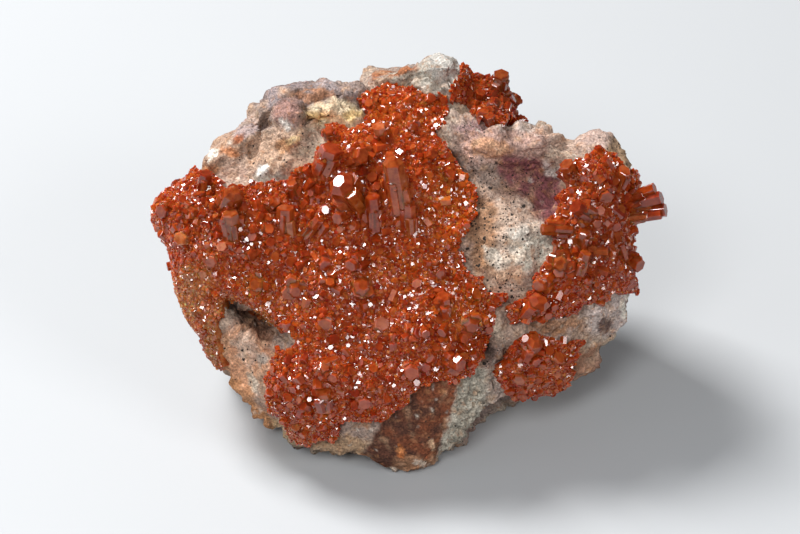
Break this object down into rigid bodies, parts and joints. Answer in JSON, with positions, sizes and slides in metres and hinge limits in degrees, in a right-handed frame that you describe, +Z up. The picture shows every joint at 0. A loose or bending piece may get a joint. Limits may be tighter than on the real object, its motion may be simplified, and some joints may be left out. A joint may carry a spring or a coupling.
{
  "type": "vanadinite on matrix",
  "caption": "Mineral specimen: pale lumpy rock matrix with a leaning face crusted by hexagonal red-orange vanadinite crystals, free-standing on a flat break.",
  "frame": {"origin": "middle of the object's box in plan, on the surface that it rests on", "axes": "+X along the specimen's width, to the viewer's right in the picture; -Y towards the viewer, the side the crystal face leans back from; +Z up"},
  "size_m": [0.0619, 0.0429, 0.0399],
  "materials": {
    "matrix_stone": "rough",
    "vanadinite": "gloss"
  },
  "bodies": {
    "root": {"matrix": "matrix_stone", "main_crust": "vanadinite", "right_crust": "vanadinite", "lower_crust": "vanadinite", "top_crust": "vanadinite"}
  },
  "joints": []
}
